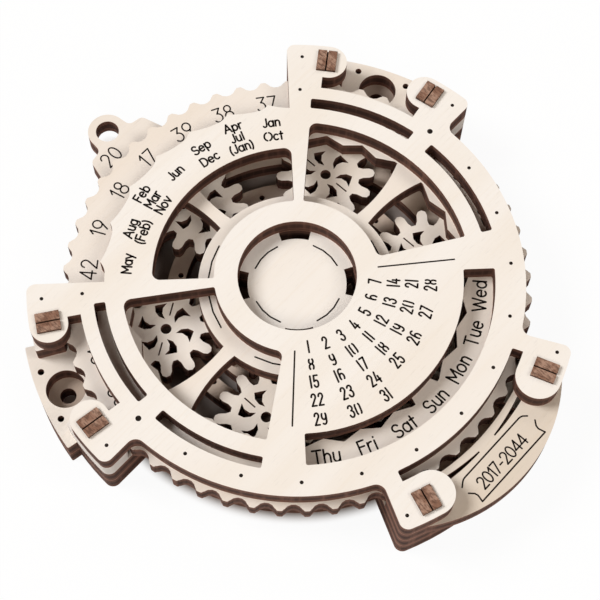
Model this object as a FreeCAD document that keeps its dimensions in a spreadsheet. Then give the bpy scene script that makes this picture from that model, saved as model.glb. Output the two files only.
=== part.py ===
"""Perpetual desk calendar in laser-cut plywood, millimetres.

Four sheets are stacked along Z: a base plate, a gear layer, the calendar wheel and a
cover. The calendar wheel carries the years and the weekdays, is turned by its scalloped
rim, and drives six planet gears and a sun gear through an internal ring gear.
The origin is on the underside of the base, on the wheel's axis; +Y points to the lug.
"""
import FreeCAD, Part
import math
import os
from FreeCAD import Vector

PLANE = "XY_Plane"
TOP = 90.0
BOTTOM = 270.0
SIDES = ("right", "left")
END_FLAT = 0.02

SIZES = {
    # sheets and fits
    "sheet_thick": 4.0,
    "face_gap": 0.1,
    "running_gap": 0.08,
    "tooth_backlash": 0.22,
    "small_corner": 0.4,
    "join_overlap": 1.5,
    # cover
    "cover_radius": 44.8,
    "cover_hole_radius": 11.7,
    "cover_hub_radius": 16.3,
    "side_window_radius": 34.3,
    "month_window_radius": 28.4,
    "window_corner": 1.6,
    "month_cusp_radius": 38.75,
    "month_hollow_depth": 1.08,
    "month_hollow_lead": 3.0,
    "month_half_angle": 45.0,
    "side_window_corner": 1.4,
    "side_window_top_angle": 38.3,
    "side_window_low_angle": 33.0,
    "weekday_window_inner": 32.6,
    "weekday_window_width": 6.2,
    "weekday_half_angle": 45.0,
    "rim_slot_inner": 37.7,
    "rim_slot_width": 2.25,
    "upper_slot_start": 6.0,
    "upper_slot_end": 38.5,
    "lower_slot_start": 0.4,
    "lower_slot_end": 32.9,
    # corner pads, two pairs beside the months
    "pad_stand_out": 5.8,
    "pad_depth": 7.5,
    "pad_gap_width": 2.6,
    "pad_side_low": 0.0,
    "pad_reach": 14.5,
    "spacer_reach": 13.7,
    "pad_neck": 9.0,
    "pad_corner": 1.7,
    "pad_fillet": 2.0,
    "peg_inset": 3.7,
    "peg_low_angle": 8.8,
    "peg_high_angle": 35.4,
    # label pads, one pair below the dates
    "label_stand_out": 7.7,
    "label_pad_depth": 8.8,
    "label_gap_width": 2.2,
    "label_side_angle": 26.8,
    "label_pad_end": 12.9,
    "label_block_end": 12.4,
    "label_neck_angle": 22.4,
    "label_peg_inset": 3.7,
    "label_peg_angle": 19.75,
    # pegs
    "peg_width": 4.7,
    "peg_stand": 0.65,
    "peg_split": 0.3,
    "peg_split_depth": 9.0,
    # calendar wheel
    "wheel_tip_radius": 46.5,
    "wheel_tip_rounding": 0.4,
    "wheel_notch_depth": 1.35,
    "wheel_notch_width": 3.4,
    "rim_valley_radius": 34.0,
    "rim_point_radius": 32.6,
    "wheel_hub_radius": 19.6,
    "hub_disc_radius": 12.5,
    "spoke_half": 1.45,
    "spoke_rim_half": 3.2,
    # gears
    "gear_module": 1.51,
    "tooth_addendum": 0.8,
    "tooth_dedendum": 1.05,
    "ring_rim_width": 3.77,
    "planet_addendum": 0.75,
    "planet_dedendum": 1.364,
    "planet_tooth_share": 0.45,
    "planet_valley_rise": 0.75,
    "planet_valley_floor": 0.9,
    "axle_radius": 1.0,
    "axle_recess": 1.5,
    "crescent_start": 2.15,
    "crescent_end": 5.54,
    "crescent_back": 3.85,
    "crescent_belly": 4.25,
    "crescent_toe_angle": 71.0,
    "crescent_heel_angle": 52.0,
    "crescent_horn_angle": 78.0,
    "crescent_back_angle": 45.5,
    "crescent_belly_angle": 66.0,
    "slit_start": 2.95,
    "slit_end": 5.8,
    "slit_width": 0.3,
    # hub
    "bush_radius": 13.2,
    "hub_slot_inner": 9.8,
    "hub_slot_outer": 11.7,
    "hub_slot_angle": 32.0,
    # base and plates
    "base_radius": 43.4,
    "base_slot_inset": 0.6,
    "base_slot_reach": 4.0,
    "base_band_width": 3.5,
    "base_well_width": 2.6,
    "base_arm_half": 5.5,
    "base_dot_radius": 0.55,
    "base_dot_inset": 3.0,
    "base_hole_radius": 1.6,
    "plate_bulge_rise": 2.1,
    "plate_bulge_half": 12.0,
    "plate_brow_corner": 0.3,
    "plate_clear": 0.5,
    "plate_hole_radius": 3.9,
    "plate_hole_inset": 3.2,
    "plate_dot_radius": 0.65,
    "plate_dot_rise": 0.2,
    "plate_dot_angle": 5.75,
    # hanging lug
    "lug_hole_radius": 2.4,
    "lug_hole_place": 53.85,
    "lug_head": 4.05,
    "lug_waist_half": 4.3,
    "lug_waist_drop": 2.2,
    "lug_shoulder_half": 7.4,
    "lug_shoulder_drop": 2.75,
    "lug_root_half": 8.9,
    "lug_root_drop": 8.2,
    "lug_fillet": 1.3,
    "lug_foot_depth": 3.6,
    # label plate and its two detent arms
    "label_bow_radius": 32.4,
    "label_bow_rise": 3.1,
    "arm_clear": 0.8,
    "arm_width": 1.7,
    "arm_end_angle": 15.0,
    "arm_end_gap": 1.6,
    "arm_bridge_angle": 2.6,
    "arm_slit_tip": 0.3,
    "arm_slit_mouth": 1.2,
}

YEARS = 28
SCALLOPS = 2 * YEARS
MONTH_SLOTS = 7
RING_TEETH = 48
PLANET_TEETH = 12
SUN_TEETH = 24
PLANETS = 6
PLANET_STEP = 360.0 / PLANETS
FIRST_PLANET = PLANET_STEP / 2
SPOKES = 4
SPOKE_STEP = 360.0 / SPOKES
SLIT_ANGLES = (90.0, 90.0, 30.0, 90.0, 90.0, 90.0)
TIP_FACETS = 4
NOTCH_FACETS = 5
CRESCENT_FACETS = 3
PRESSURE_ANGLE = math.radians(25.0)

doc = FreeCAD.newDocument("PerpetualCalendar")
sheet = doc.addObject("Spreadsheet::Sheet", "params")
for row, (alias, number) in enumerate(SIZES.items(), start=1):
    sheet.set(f"A{row}", alias)
    sheet.set(f"B{row}", str(number))
    sheet.setAlias(f"B{row}", alias)
doc.recompute()


def size(alias):
    """Value of one driving dimension."""
    return float(sheet.get(alias))


def polar(radius, angle):
    """Point at a radius and an angle in degrees."""
    turn = math.radians(angle)
    return Vector(radius * math.cos(turn), radius * math.sin(turn), 0)


def turned(point, angle):
    """The point turned about the Z axis, in degrees."""
    turn = math.radians(angle)
    c, s = math.cos(turn), math.sin(turn)
    return Vector(point.x * c - point.y * s, point.x * s + point.y * c, 0)


# ---------------------------------------------------------------- radii that follow others
def pad_outer():
    """Outer radius of the corner pads: they stand out beyond the wheel's tips."""
    return size("wheel_tip_radius") + size("plate_clear") + size("pad_stand_out")


def pad_inner():
    return pad_outer() - size("pad_depth")


def pad_gap():
    return pad_inner() - size("pad_gap_width")


def arm_inner():
    """Inner radius of the detent arms, clear of the wheel's tips."""
    return size("wheel_tip_radius") + size("arm_clear")


def label_outer():
    return arm_inner() + size("label_stand_out")


def label_inner():
    return label_outer() - size("label_pad_depth")


def gear_radii(teeth, internal=False):
    """Root and tip radius of a gear."""
    module = size("gear_module")
    pitch_radius = module * teeth / 2
    way = -1 if internal else 1
    root = pitch_radius - way * size("tooth_dedendum") * module
    tip = pitch_radius + way * size("tooth_addendum") * module
    return root, tip


def ring_outer():
    root, _ = gear_radii(RING_TEETH, internal=True)
    return root + size("ring_rim_width")


def planet_spread():
    """Distance of the planet gears' axes from the middle."""
    return size("gear_module") * (SUN_TEETH + PLANET_TEETH) / 2


def planet_centres():
    return [polar(planet_spread(), FIRST_PLANET + PLANET_STEP * number) for number in range(PLANETS)]


# ---------------------------------------------------------------- outlines
def line(start, end):
    return Part.LineSegment(start, end)


def chain(points, bulges):
    """Closed outline: each edge is a line, or an arc through its middle point."""
    edges = []
    for i, start in enumerate(points):
        end = points[(i + 1) % len(points)]
        middle = bulges[i]
        edges.append(line(start, end) if middle is None else Part.Arc(start, middle, end))
    return edges


def polygon(points):
    return chain(points, [None] * len(points))


def arc_points(start, middle, end, facets):
    """Points along an arc through three points, with its ends."""
    return Part.Arc(start, middle, end).toShape().discretize(Number=facets + 1)


def sector(inner, outer, start, end):
    """Annular sector with square corners."""
    middle = (start + end) / 2
    points = [polar(inner, start), polar(outer, start), polar(outer, end), polar(inner, end)]
    return chain(points, [None, polar(outer, middle), None, polar(inner, middle)])


def round_sector(inner, outer, start, end, corners):
    """Annular sector with rounded corners.

    corners gives the corner radii as (inner at start, outer at start, outer at end,
    inner at end). A corner's centre lies one corner radius inside both of its sides.
    """
    points = []
    middles = []
    places = ((inner, 1, start, 1), (outer, -1, start, 1), (outer, -1, end, -1), (inner, 1, end, -1))
    for (rim, inward, side, turn), corner in zip(places, corners):
        centre_radius = rim + inward * corner
        lean = math.degrees(math.asin(corner / centre_radius))
        on_rim = polar(rim, side + turn * lean)
        on_side = polar(math.sqrt(centre_radius ** 2 - corner ** 2), side)
        centre = polar(centre_radius, side + turn * lean)
        inside = (on_rim + on_side) * 0.5 - centre
        knee = centre + inside * (corner / inside.Length)
        points.append((on_rim, knee, on_side))
        middles.append(side + turn * lean)
    low_in, low_out, high_out, high_in = points
    outer_mid = polar(outer, (middles[1] + middles[2]) / 2)
    inner_mid = polar(inner, (middles[0] + middles[3]) / 2)
    ends = [low_in[0], low_in[2], low_out[2], low_out[0], high_out[0], high_out[2], high_in[2], high_in[0]]
    knees = [low_in[1], None, low_out[1], outer_mid, high_out[1], None, high_in[1], inner_mid]
    return chain(ends, knees)


def slot_sector(inner, outer, start, end, corner):
    return round_sector(inner, outer, start, end, (corner,) * 4)


def involute_angle(base_radius, radius):
    """Polar angle in radians that an involute has turned through at a radius."""
    if radius <= base_radius:
        return 0.0
    rolled = math.sqrt((radius / base_radius) ** 2 - 1)
    return rolled - math.atan(rolled)


def gear_outline(teeth, root, tip, internal):
    """Closed gear outline with flat flanks that span the involute's ends.

    The first tooth's middle is at angle 0. For an internal gear root lies outside tip.
    """
    pitch_radius = size("gear_module") * teeth / 2
    base_radius = pitch_radius * math.cos(PRESSURE_ANGLE)
    thickness = math.pi * size("gear_module") / 2 - size("tooth_backlash") / 2
    half_tooth = thickness / 2 / pitch_radius
    at_pitch = involute_angle(base_radius, pitch_radius)
    lean = -1 if internal else 1

    def half_angle(radius):
        drift = involute_angle(base_radius, radius) - at_pitch
        return math.degrees(half_tooth - lean * drift)

    points = []
    for tooth in range(teeth):
        at = tooth * 360.0 / teeth
        points.append(polar(root, at - half_angle(root)))
        points.append(polar(tip, at - half_angle(tip)))
        points.append(polar(tip, at + half_angle(tip)))
        points.append(polar(root, at + half_angle(root)))
    return polygon(points)


def planet_outline():
    """Planet gear: parallel-sided teeth with round ends and U-shaped valleys."""
    module = size("gear_module")
    pitch_radius = module * PLANET_TEETH / 2
    tip = pitch_radius + size("planet_addendum") * module
    root = pitch_radius - size("planet_dedendum") * module
    half = size("planet_tooth_share") * math.pi * module / 2
    shoulder = tip - half
    foot = root + size("planet_valley_rise")
    floor = math.degrees(math.asin(size("planet_valley_floor") / 2 / root))
    end = arc_points(Vector(shoulder, -half, 0), Vector(tip, 0, 0), Vector(shoulder, half, 0), TIP_FACETS)
    tooth = [Vector(foot, -half, 0)] + end + [Vector(foot, half, 0)]
    pitch = 360.0 / PLANET_TEETH
    points = []
    for number in range(PLANET_TEETH):
        at = (number + 0.5) * pitch
        points += [turned(point, at) for point in tooth]
        points += [polar(root, at + pitch / 2 - floor), polar(root, at + pitch / 2 + floor)]
    return polygon(points)


def crescent():
    """Curved cut-out between the bore and the teeth of a planet gear."""
    far = size("crescent_end")
    toe = polar(size("crescent_start"), -size("crescent_toe_angle"))
    back = polar(size("crescent_back"), -size("crescent_back_angle"))
    belly = polar(size("crescent_belly"), -size("crescent_belly_angle"))
    outside = arc_points(toe, back, polar(far, -size("crescent_heel_angle")), CRESCENT_FACETS)
    inside = arc_points(polar(far, -size("crescent_horn_angle")), belly, toe, CRESCENT_FACETS)
    return polygon(outside + inside[:-1])


def scalloped_rim():
    """Outer edge of the calendar wheel: narrow rounded tips between round notches."""
    tip = size("wheel_tip_radius")
    shoulder = tip - size("wheel_tip_rounding")
    valley = tip - size("wheel_notch_depth")
    half_notch = math.degrees(math.asin(size("wheel_notch_width") / 2 / shoulder))
    pitch = 360.0 / SCALLOPS
    points = []
    for i in range(SCALLOPS):
        middle = TOP + (i + 0.5) * pitch
        start, end = polar(shoulder, middle - half_notch), polar(shoulder, middle + half_notch)
        points += arc_points(start, polar(valley, middle), end, NOTCH_FACETS)
        points.append(polar(tip, middle + pitch / 2))
    return polygon(points)


def wheel_window():
    """Opening between two spokes: zigzag outer edge, hollow spoke sides, hub arc."""
    hub = size("wheel_hub_radius")
    point = size("rim_point_radius")
    valley = size("rim_valley_radius")
    pitch = 360.0 / YEARS
    root_lean = math.degrees(math.asin(size("spoke_half") / hub))
    rim_lean = math.degrees(math.asin(size("spoke_rim_half") / valley))
    waist = (hub + valley) / 2
    waist_lean = math.degrees(math.asin(size("spoke_half") / waist))
    points = [polar(hub, SPOKE_STEP - root_lean), polar(hub, root_lean), polar(valley, rim_lean)]
    bulges = [polar(hub, SPOKE_STEP / 2), polar(waist, waist_lean), None]
    for i in range(1, YEARS // SPOKES):
        points += [polar(valley, (i - 0.5) * pitch), polar(point, i * pitch)]
        bulges += [None, None]
    points += [polar(valley, SPOKE_STEP - pitch / 2), polar(valley, SPOKE_STEP - rim_lean)]
    bulges += [None, polar(waist, SPOKE_STEP - waist_lean)]
    return chain(points, bulges)


def month_edge():
    """What is cut off the cover outside the months: a hollow between every two cusps.

    Each hollow falls steeply after its cusp and rises slowly to the next one.
    """
    half = size("month_half_angle")
    cusp = size("month_cusp_radius")
    depth = size("month_hollow_depth")
    lead = size("month_hollow_lead")
    hollow = cusp - depth
    pitch = 2 * half / MONTH_SLOTS
    beyond = pad_outer() + size("pad_corner")
    points = [polar(hollow, TOP - half)]
    bulges = [polar(hollow + depth / 4, TOP - half + pitch / 4)]
    for i in range(MONTH_SLOTS):
        at = TOP - half + (i + 0.5) * pitch
        rest = (pitch if i < MONTH_SLOTS - 1 else pitch / 2) - lead
        points += [polar(cusp, at), polar(hollow, at + lead)]
        bulges.append(polar(hollow + depth / 3, at + lead / 2))
        bulges.append(polar(hollow + depth / 10, at + lead + rest / 2) if i < MONTH_SLOTS - 1 else None)
    points += [polar(hollow, TOP + half), polar(beyond, TOP + half), polar(beyond, TOP - half)]
    bulges += [None, polar(beyond, TOP), None]
    return chain(points, bulges)


def lug_corners():
    """Waist and shoulder of the lug on its right and left sides."""
    place = size("lug_hole_place")
    corners = []
    for side in (1, -1):
        corners.append(Vector(side * size("lug_waist_half"), place - size("lug_waist_drop"), 0))
        corners.append(Vector(side * size("lug_shoulder_half"), place - size("lug_shoulder_drop"), 0))
    return corners


def lug_outline(inner):
    """Hanging lug: a round head, a waist and two shoulders over a curved root."""
    place = size("lug_hole_place")
    head = size("lug_head")
    root = size("lug_root_half")
    low = place - size("lug_root_drop")
    foot = math.sqrt(inner ** 2 - root ** 2)
    right_waist, right_shoulder, left_waist, left_shoulder = lug_corners()
    points = [Vector(head, place, 0), Vector(-head, place, 0), left_waist, left_shoulder]
    points += [Vector(-root, low, 0), Vector(-root, foot, 0), Vector(root, foot, 0), Vector(root, low, 0)]
    points += [right_shoulder, right_waist]
    bulges = [None] * len(points)
    bulges[0] = Vector(0, place + head, 0)
    bulges[5] = Vector(0, inner, 0)
    return chain(points, bulges)


def label_outline():
    """Label plate: its bowed outer edge flows into the label pads' outer radius."""
    inner, outer = arm_inner(), label_outer()
    side = size("label_side_angle")
    bow = size("label_bow_radius")
    edge = outer + size("label_bow_rise")
    offset = edge - bow
    meet = math.degrees(math.acos((outer ** 2 + offset ** 2 - bow ** 2) / (2 * outer * offset)))
    points = [polar(inner, BOTTOM + side), polar(outer, BOTTOM + side), polar(outer, BOTTOM + meet)]
    bulges = [None, polar(outer, BOTTOM + (side + meet) / 2), Vector(0, -edge, 0)]
    points += [polar(outer, BOTTOM - meet), polar(outer, BOTTOM - side), polar(inner, BOTTOM - side)]
    bulges += [polar(outer, BOTTOM - (side + meet) / 2), None, polar(inner, BOTTOM)]
    return chain(points, bulges)


def arm_slit(turn):
    """Wedge that frees one detent arm: narrow at the bridge, open at the arm's end."""
    inner = arm_inner()
    radius = inner + size("arm_width")
    tip = size("arm_slit_tip") / 2
    mouth = size("arm_slit_mouth") / 2
    near = BOTTOM + turn * size("arm_bridge_angle")
    far = BOTTOM + turn * size("arm_end_angle")
    last = BOTTOM + turn * (size("arm_end_angle") + size("arm_end_gap"))
    below = inner - size("small_corner")
    points = [polar(radius + tip, near), polar(radius + mouth, last), polar(below, last)]
    points += [polar(below, far), polar(radius - mouth, far), polar(radius - tip, near)]
    middle = (near + far) / 2
    bulges = [polar(radius + (tip + mouth) / 2, middle), None, None, None]
    bulges += [polar(radius - (tip + mouth) / 2, middle), None]
    return chain(points, bulges)


# ---------------------------------------------------------------- features
def new_body(name, level, place=None):
    """Empty body whose height above the table is an expression on the sheet."""
    body = doc.addObject("PartDesign::Body", name)
    body.Label = name
    if place is not None:
        body.Placement.Base = place
    body.setExpression(".Placement.Base.z", level)
    return body


def origin_plane(body):
    return [f for f in body.Origin.OriginFeatures if f.Role == PLANE][0]


def draw(body, name, *outlines):
    """Sketch on the body's own XY plane with one or more closed outlines."""
    sketch = body.newObject("Sketcher::SketchObject", name)
    sketch.AttachmentSupport = [(origin_plane(body), "")]
    sketch.MapMode = "FlatFace"
    for outline in outlines:
        sketch.addGeometry(outline, False)
    return sketch


def disc(radius, centre=Vector(0, 0, 0)):
    return [Part.Circle(centre, Vector(0, 0, 1), radius)]


def pad(body, name, length, *outlines):
    """Plate of a thickness that is an expression on the sheet."""
    feature = body.newObject("PartDesign::Pad", name)
    feature.Profile = draw(body, name + "_outline", *outlines)
    feature.setExpression("Length", length)
    return feature


def cut(body, name, *outlines):
    """Laser cut right through the plate, upwards from its underside."""
    feature = body.newObject("PartDesign::Pocket", name)
    feature.Profile = draw(body, name + "_outline", *outlines)
    feature.Type = 1
    feature.Reversed = True
    return feature


def ring_of(body, name, feature, count):
    """Polar pattern of one feature about the body's Z axis."""
    pattern = body.newObject("PartDesign::PolarPattern", name)
    pattern.Originals = [feature]
    axis = [f for f in body.Origin.OriginFeatures if f.Role == "Z_Axis"][0]
    pattern.Axis = (axis, [""])
    pattern.Angle = 360.0
    pattern.Occurrences = count
    body.Tip = pattern
    return pattern


def upright_edges(shape, places):
    """Names of the upright edges that stand at the given places."""
    found = []
    for number, edge in enumerate(shape.Edges, start=1):
        first, last = edge.Vertexes[0].Point, edge.Vertexes[-1].Point
        if math.hypot(first.x - last.x, first.y - last.y) > 1e-3:
            continue
        for place in places:
            if math.hypot(first.x - place.x, first.y - place.y) < 0.05:
                found.append(f"Edge{number}")
    return found


def round_corners(body, name, places, radius):
    """Fillet of the upright edges at the given places."""
    doc.recompute()
    base = body.Tip
    edges = upright_edges(base.Shape, places)
    if len(edges) != len(places):
        raise RuntimeError(f"{body.Name} {name}: {len(edges)} edges for {len(places)} corners")
    fillet = body.newObject("PartDesign::Fillet", name)
    fillet.Base = (base, edges)
    fillet.setExpression("Radius", radius)
    return fillet


def mirrored(angle):
    """The same angle on the other side of the calendar's middle line."""
    return 180.0 - angle


def both_sides(start, end):
    """A range of angles and its mirror image."""
    return ((start, end), (mirrored(end), mirrored(start)))


LEVEL = {
    "base": "0 mm",
    "gears": "params.sheet_thick",
    "wheel": "params.sheet_thick * 2",
    "cover": "params.sheet_thick * 3",
}
SHEET = "params.sheet_thick"
WHEEL_SHEET = "params.sheet_thick - 2 * params.face_gap"


# ---------------------------------------------------------------- pad stack shapes
def pad_heads(inner, reach, end):
    """The four corner pads beside the months, from an inner radius outwards.

    reach is the angle they span, end the corners where they stop.
    """
    outer = pad_outer()
    low, high = size("pad_side_low"), size("month_half_angle")
    soft = size("pad_corner")
    starting = (soft / 2, soft, end, end)
    ending = (end, end, soft, soft / 2)
    return [
        round_sector(inner, outer, low, low + reach, starting),
        round_sector(inner, outer, mirrored(low + reach), mirrored(low), ending),
        round_sector(inner, outer, high - reach, high, ending),
        round_sector(inner, outer, mirrored(high), mirrored(high - reach), starting),
    ]


def label_heads(inner, near, end):
    """The two pads beside the label, from an inner radius outwards.

    near is the angle at which they begin beside the middle line, end their corners there.
    """
    outer = label_outer()
    side = size("label_side_angle")
    soft = size("pad_corner")
    return [
        round_sector(inner, outer, BOTTOM + near, BOTTOM + side, (end, end, soft, soft / 2)),
        round_sector(inner, outer, BOTTOM - side, BOTTOM - near, (soft / 2, soft, end, end)),
    ]


def label_edges():
    """Outer corners of the label's two pads."""
    return [polar(label_outer(), BOTTOM + turn * size("label_side_angle")) for turn in (-1, 1)]


def label_pegs():
    """Radius and angle of the right and left pegs beside the label."""
    radius = label_outer() - size("label_peg_inset")
    return [(radius, BOTTOM + size("label_peg_angle")), (radius, BOTTOM - size("label_peg_angle"))]


def corner_pegs():
    """Radius and angle of the four pegs beside the months, anticlockwise."""
    radius = pad_outer() - size("peg_inset")
    low, high = size("peg_low_angle"), size("peg_high_angle")
    return [(radius, angle) for angle in (low, high, mirrored(high), mirrored(low))]


def peg_hole(radius, angle):
    """Rectangle for one peg, its long sides along the radius."""
    half_long = size("peg_width") / 2
    half_short = size("sheet_thick") / 2
    corners = ((1, 1), (-1, 1), (-1, -1), (1, -1))
    points = [Vector(radius + a * half_long, b * half_short, 0) for a, b in corners]
    return polygon([turned(point, angle) for point in points])


def side_angles(side):
    """First, middle and last angle of the pair of corner pads on one side."""
    low, high = size("pad_side_low"), size("month_half_angle")
    if side == "left":
        low, high = mirrored(high), mirrored(low)
    return low, (low + high) / 2, high


def pair_plate(side, inner):
    """Plate that joins a pair of corner pads, and the brow that bulges between them."""
    low, middle, high = side_angles(side)
    soft = size("pad_corner")
    bulge = size("plate_bulge_half")
    top = pad_outer() + size("plate_bulge_rise")
    plate = slot_sector(inner, pad_outer(), low, high, soft)
    brow = slot_sector(inner + soft, top, middle - bulge, middle + bulge, size("plate_brow_corner"))
    return plate, brow


def plate_hole_centre(side):
    return polar(pad_outer() - size("plate_hole_inset"), side_angles(side)[1])


# ---------------------------------------------------------------- pieces
def make_base():
    body = new_body("base_plate", LEVEL["base"])
    pad(body, "plate", SHEET, disc(size("base_radius")))
    start = size("base_radius") - size("pad_corner")
    for side in SIDES:
        plate, brow = pair_plate(side, start)
        pad(body, f"ear_{side}", SHEET, plate)
        pad(body, f"brow_{side}", SHEET, brow)
    side = size("label_side_angle")
    outline = slot_sector(start, label_outer(), BOTTOM - side, BOTTOM + side, size("pad_corner"))
    pad(body, "label_foot", SHEET, outline)
    reach = size("base_radius") + size("lug_foot_depth")
    half = math.degrees(math.asin((size("lug_root_half") - size("small_corner")) / reach))
    pad(body, "lug_foot", SHEET, sector(start, reach, TOP - half, TOP + half))
    cut_base_slots(body)
    holes = [disc(size("base_hole_radius"), plate_hole_centre(side)) for side in SIDES]
    cut(body, "small_holes", *holes)
    cut(body, "peg_holes", *[peg_hole(*place) for place in corner_pegs() + label_pegs()])
    cut(body, "axle_holes", *[disc(size("axle_radius"), centre) for centre in planet_centres()])
    return body


def cut_base_slots(body):
    """Arc slots between the six arms that carry the planet gears, and a dot in each band."""
    spread = planet_spread()
    reach = PLANET_STEP / 2 - size("base_arm_half")
    inner = spread - size("base_slot_inset")
    outline = sector(inner, spread + size("base_slot_reach"), -reach, reach)
    ring_of(body, "outer_slots", cut(body, "outer_slot", outline), PLANETS)
    well = inner - size("base_band_width")
    outline = sector(well - size("base_well_width"), well, -reach, reach)
    ring_of(body, "inner_slots", cut(body, "inner_slot", outline), PLANETS)
    dot = disc(size("base_dot_radius"), polar(spread - size("base_dot_inset"), 0.0))
    ring_of(body, "dots", cut(body, "dot", dot), PLANETS)


def make_corner_plate(side):
    low, middle, high = side_angles(side)
    body = new_body(f"corner_plate_{side}", LEVEL["gears"])
    plate, brow = pair_plate(side, ring_outer() + size("plate_clear"))
    pad(body, "plate", SHEET, plate)
    pad(body, "brow", SHEET, brow)
    cut(body, "big_hole", disc(size("plate_hole_radius"), plate_hole_centre(side)))
    place = pad_outer() + size("plate_dot_rise")
    dots = [polar(place, middle + turn * size("plate_dot_angle")) for turn in (-1, 1)]
    cut(body, "dots", *[disc(size("plate_dot_radius"), dot) for dot in dots])
    pegs = [place for place in corner_pegs() if low < place[1] < high]
    cut(body, "peg_holes", *[peg_hole(*place) for place in pegs])
    return body


def make_lug_plate():
    """Hanging lug in the gear layer, glued to the base's foot under it."""
    body = new_body("lug_plate", LEVEL["gears"])
    pad(body, "plate", SHEET, lug_outline(ring_outer() + size("plate_clear")))
    round_corners(body, "soft_corners", lug_corners(), "params.lug_fillet")
    cut(body, "hanging_hole", disc(size("lug_hole_radius"), Vector(0, size("lug_hole_place"), 0)))
    return body


def make_blocks():
    """Small blocks that fill the stack between the sheets under the pads."""
    right_low, right_high, left_high, left_low = corner_pegs()
    small = size("small_corner")
    spacers = zip(
        ("spacer_right_low", "spacer_left_low", "spacer_right_high", "spacer_left_high"),
        pad_heads(size("wheel_tip_radius") + size("plate_clear"), size("spacer_reach"), small),
        (right_low, left_low, right_high, left_high),
    )
    blocks = zip(
        ("label_block_right", "label_block_left"),
        label_heads(ring_outer() + size("plate_clear"), size("label_block_end"), small),
        label_pegs(),
    )
    made = []
    for level, group in (("wheel", spacers), ("gears", blocks)):
        for name, outline, peg in group:
            body = new_body(name, LEVEL[level])
            pad(body, "block", SHEET, outline)
            cut(body, "peg_hole", peg_hole(*peg))
            made.append(body)
    return made


def make_label_plate():
    body = new_body("label_plate", LEVEL["wheel"])
    pad(body, "plate", SHEET, label_outline())
    round_corners(body, "soft_corners", label_edges(), "params.pad_corner")
    cut(body, "slit_right", arm_slit(1))
    cut(body, "slit_left", arm_slit(-1))
    cut(body, "peg_holes", *[peg_hole(*place) for place in label_pegs()])
    return body


def make_cover():
    body = new_body("top_cover", LEVEL["cover"])
    pad(body, "plate", SHEET, disc(size("cover_radius")))
    low, high = size("pad_side_low"), size("month_half_angle")
    neck = size("pad_neck")
    over = size("join_overlap")
    root = size("cover_radius") - over
    necks = both_sides(low, low + neck) + both_sides(high - neck, high)
    for number, (start, end) in enumerate(necks):
        pad(body, f"neck_{number}", SHEET, sector(root, pad_inner() + over, start, end))
    end = size("pad_depth") / 2 - END_FLAT
    for number, outline in enumerate(pad_heads(pad_inner(), size("pad_reach"), end)):
        pad(body, f"head_{number}", SHEET, outline)
    side, near = size("label_side_angle"), size("label_neck_angle")
    necks = ((BOTTOM - side, BOTTOM - near), (BOTTOM + near, BOTTOM + side))
    for number, (start, end) in enumerate(necks):
        pad(body, f"label_neck_{number}", SHEET, sector(root, label_inner() + over, start, end))
    end = size("label_pad_depth") / 2 - END_FLAT
    for number, outline in enumerate(label_heads(label_inner(), size("label_pad_end"), end)):
        pad(body, f"label_head_{number}", SHEET, outline)
    for number, (start, end) in enumerate(both_sides(low + neck, high - neck)):
        cut(body, f"pad_gap_{number}", sector(pad_gap(), pad_inner(), start, end))
    gap = label_inner() - size("label_gap_width")
    corner = size("small_corner")
    cut(body, "label_gap", slot_sector(gap, label_inner(), BOTTOM - near, BOTTOM + near, corner))
    cut(body, "month_edge", month_edge())
    cut_cover_windows(body)
    cut(body, "peg_holes", *[peg_hole(*place) for place in corner_pegs() + label_pegs()])
    shoulders = (low, mirrored(low), BOTTOM + side, BOTTOM - side)
    places = [polar(size("cover_radius"), angle) for angle in shoulders]
    round_corners(body, "shoulder_fillets", places, "params.pad_fillet")
    return body


def cut_cover_windows(body):
    hub = size("cover_hub_radius")
    corner, small, foot = size("window_corner"), size("small_corner"), size("side_window_corner")
    half = size("month_half_angle")
    cut(body, "centre_hole", disc(size("cover_hole_radius")))
    rounds = (small, corner, corner, small)
    outer = size("month_window_radius")
    cut(body, "month_window", round_sector(hub, outer, TOP - half, TOP + half, rounds))
    low, high = -size("side_window_low_angle"), size("side_window_top_angle")
    outer = size("side_window_radius")
    right = round_sector(hub, outer, low, high, (foot, small, corner, small))
    left = round_sector(hub, outer, mirrored(high), mirrored(low), (small, corner, small, foot))
    cut(body, "right_window", right)
    cut(body, "left_window", left)
    half = size("weekday_half_angle")
    inner = size("weekday_window_inner")
    outer = inner + size("weekday_window_width")
    cut(body, "weekday_window", slot_sector(inner, outer, BOTTOM - half, BOTTOM + half, small))
    inner = size("rim_slot_inner")
    outer = inner + size("rim_slot_width")
    slots = both_sides(size("upper_slot_start"), size("upper_slot_end"))
    slots += both_sides(-size("lower_slot_end"), -size("lower_slot_start"))
    cut(body, "rim_slots", *[slot_sector(inner, outer, start, end, small) for start, end in slots])


def make_pegs():
    """Split pegs that pin the four sheets together, standing a little proud."""
    names = ("peg_right_low", "peg_right_high", "peg_left_high", "peg_left_low")
    names += ("peg_label_right", "peg_label_left")
    height = "params.sheet_thick * 4 + params.peg_stand"
    half = size("peg_split") / 2
    reach = size("peg_width")
    made = []
    for name, (radius, angle) in zip(names, corner_pegs() + label_pegs()):
        body = new_body(name, LEVEL["base"], polar(radius, angle))
        body.Placement.Rotation = FreeCAD.Rotation(Vector(0, 0, 1), angle)
        pad(body, "strip", height, peg_hole(0.0, 0.0))
        points = [Vector(-reach, -half, 0), Vector(reach, -half, 0)]
        points += [Vector(reach, half, 0), Vector(-reach, half, 0)]
        outline = draw(body, "split_outline", polygon(points))
        outline.setExpression(".AttachmentOffset.Base.z", height)
        split = body.newObject("PartDesign::Pocket", "split")
        split.Profile = outline
        split.setExpression("Length", "params.peg_split_depth")
        made.append(body)
    return made


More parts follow.
